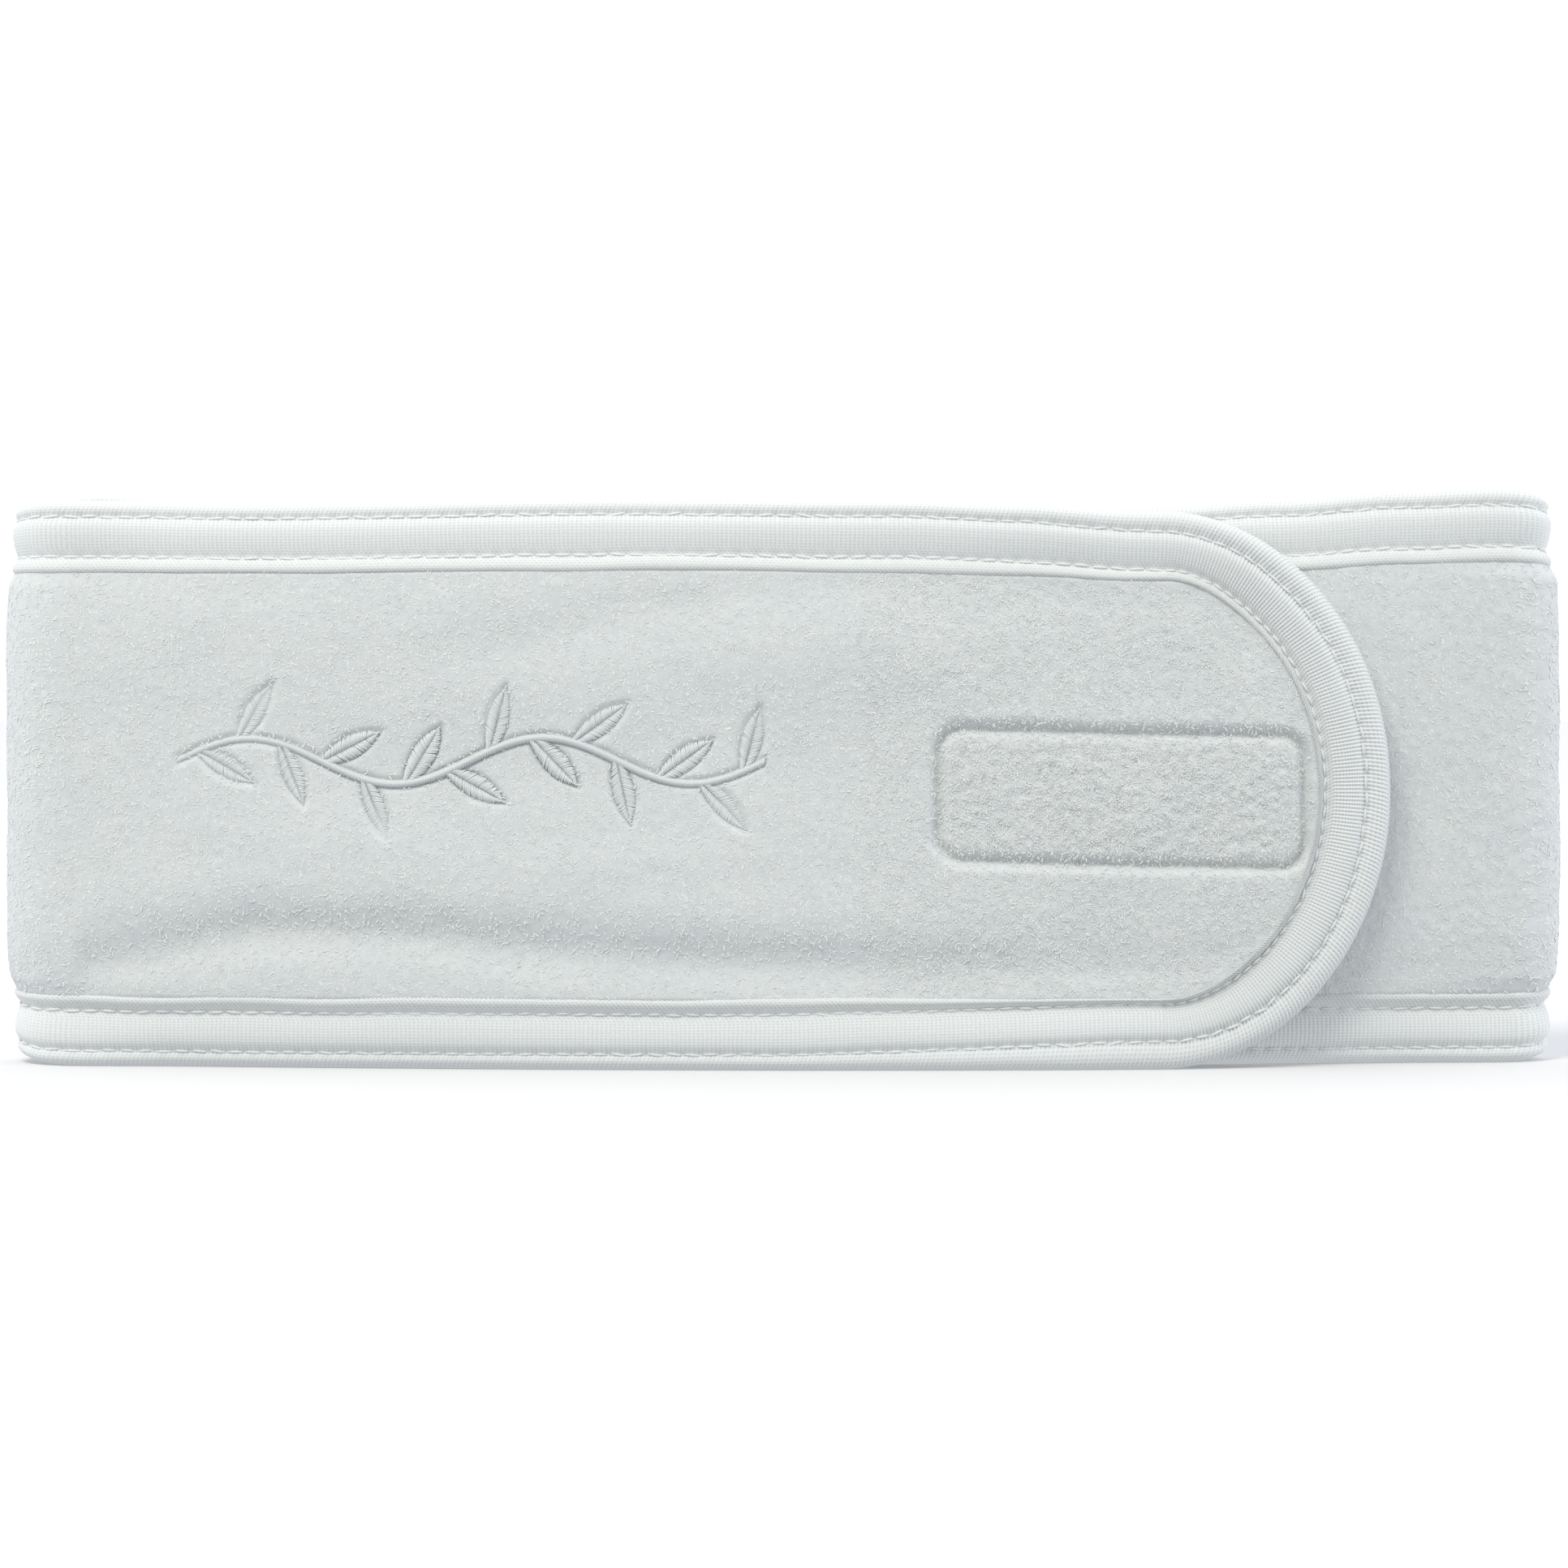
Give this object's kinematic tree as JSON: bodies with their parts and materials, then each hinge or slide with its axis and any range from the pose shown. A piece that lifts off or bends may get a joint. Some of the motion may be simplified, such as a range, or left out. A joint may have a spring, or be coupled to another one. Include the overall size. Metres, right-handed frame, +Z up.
{
  "type": "spa headband",
  "caption": "Wide terry headband edged with knit binding, closed into a flattened loop by a round-ended hook-and-loop flap that peels open.",
  "frame": {"origin": "centre of the flattened loop, on the surface its lower edge stands on", "axes": "+X along the band toward the flap's round end, +Y from the flap's side to the plain back, +Z up, across the band's width"},
  "size_m": [0.25, 0.0404, 0.09],
  "materials": {
    "outer_terry": "soft white cotton terry with a short curled pile",
    "inner_terry": "soft white cotton terry, the lining",
    "knit_binding": "white ribbed knit tape with two rows of stitching",
    "embroidery": "white satin stitch, tone on tone",
    "hook_tape": "white woven nylon hook tape",
    "loop_tape": "white brushed nylon loop tape"
  },
  "bodies": {
    "back": {"back_outer_cloth": "outer_terry", "back_inner_cloth": "inner_terry", "back_binding_top": "knit_binding", "back_binding_bottom": "knit_binding"},
    "left_fold": {"left_fold_outer_cloth": "outer_terry", "left_fold_inner_cloth": "inner_terry", "left_fold_binding_top": "knit_binding", "left_fold_binding_bottom": "knit_binding"},
    "front": {"front_outer_cloth": "outer_terry", "front_inner_cloth": "inner_terry", "front_binding_top": "knit_binding", "front_binding_bottom": "knit_binding", "embroidery": "embroidery"},
    "flap": {"flap_outer_cloth": "outer_terry", "flap_inner_cloth": "inner_terry", "flap_binding": "knit_binding", "hook_tape": "hook_tape"},
    "right_fold": {"right_fold_outer_cloth": "outer_terry", "right_fold_inner_cloth": "inner_terry", "right_fold_binding_top": "knit_binding", "right_fold_binding_bottom": "knit_binding"},
    "under_end": {"under_end_outer_cloth": "outer_terry", "under_end_inner_cloth": "inner_terry", "under_end_binding": "knit_binding", "loop_tape": "loop_tape"}
  },
  "joints": [
    {"name": "left_unfold", "type": "hinge", "parent": "back", "child": "left_fold", "pos_m": [-0.12142, 0.01218, 0.045], "axis": [0, 0, -1], "range_deg": [0, 85]},
    {"name": "left_unfold_front", "type": "hinge", "parent": "left_fold", "child": "front", "pos_m": [-0.12236, -0.00388, 0.045], "axis": [0, 0, -1], "range_deg": [0, 85]},
    {"name": "right_unfold", "type": "hinge", "parent": "back", "child": "right_fold", "pos_m": [0.12271, 0.0132, 0.045], "axis": [0, 0, 1], "range_deg": [0, 85]},
    {"name": "right_unfold_end", "type": "hinge", "parent": "right_fold", "child": "under_end", "pos_m": [0.12334, 0.00297, 0.045], "axis": [0, 0, 1], "range_deg": [0, 85]},
    {"name": "flap_peel", "type": "hinge", "parent": "front", "child": "flap", "pos_m": [0.01457, -0.01935, 0.045], "axis": [0, 0, -1], "range_deg": [0, 150]}
  ],
  "couplings": [
    {"joint": "left_unfold_front", "follows": "left_unfold", "ratio": 1},
    {"joint": "right_unfold", "follows": "left_unfold", "ratio": 1},
    {"joint": "right_unfold_end", "follows": "left_unfold", "ratio": 1}
  ]
}
